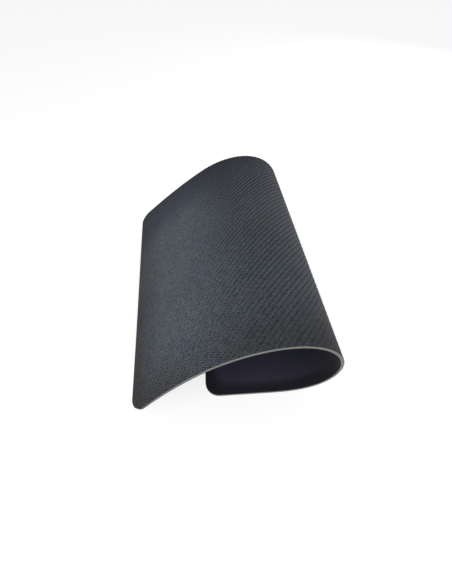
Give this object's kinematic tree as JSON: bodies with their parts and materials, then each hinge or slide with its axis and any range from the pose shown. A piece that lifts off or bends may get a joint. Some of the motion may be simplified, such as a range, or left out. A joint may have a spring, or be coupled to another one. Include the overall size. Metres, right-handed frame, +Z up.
{
  "type": "mouse pad",
  "caption": "Curled rectangular mouse pad: a knitted cloth face bonded to a foam rubber sheet with an embossed anti-slip underside.",
  "frame": {"origin": "on the table, under the middle of the curled pad's bounding box", "axes": "+X along the sheet's length, from its flat end towards the bend; +Y across the sheet, away from the viewer; +Z up"},
  "size_m": [0.1246, 0.1934, 0.0574],
  "materials": {
    "foam_rubber": "matt charcoal foam rubber, embossed underside, raw cut edge",
    "hot_melt_film": "thin clear-grey bonding film, seen only at the cut edge",
    "knitted_cloth": "fine knitted polyester, navy black, matt"
  },
  "bodies": {
    "root": {"rubber_base": "foam_rubber", "adhesive_film": "hot_melt_film", "cloth_top": "knitted_cloth"}
  },
  "joints": []
}
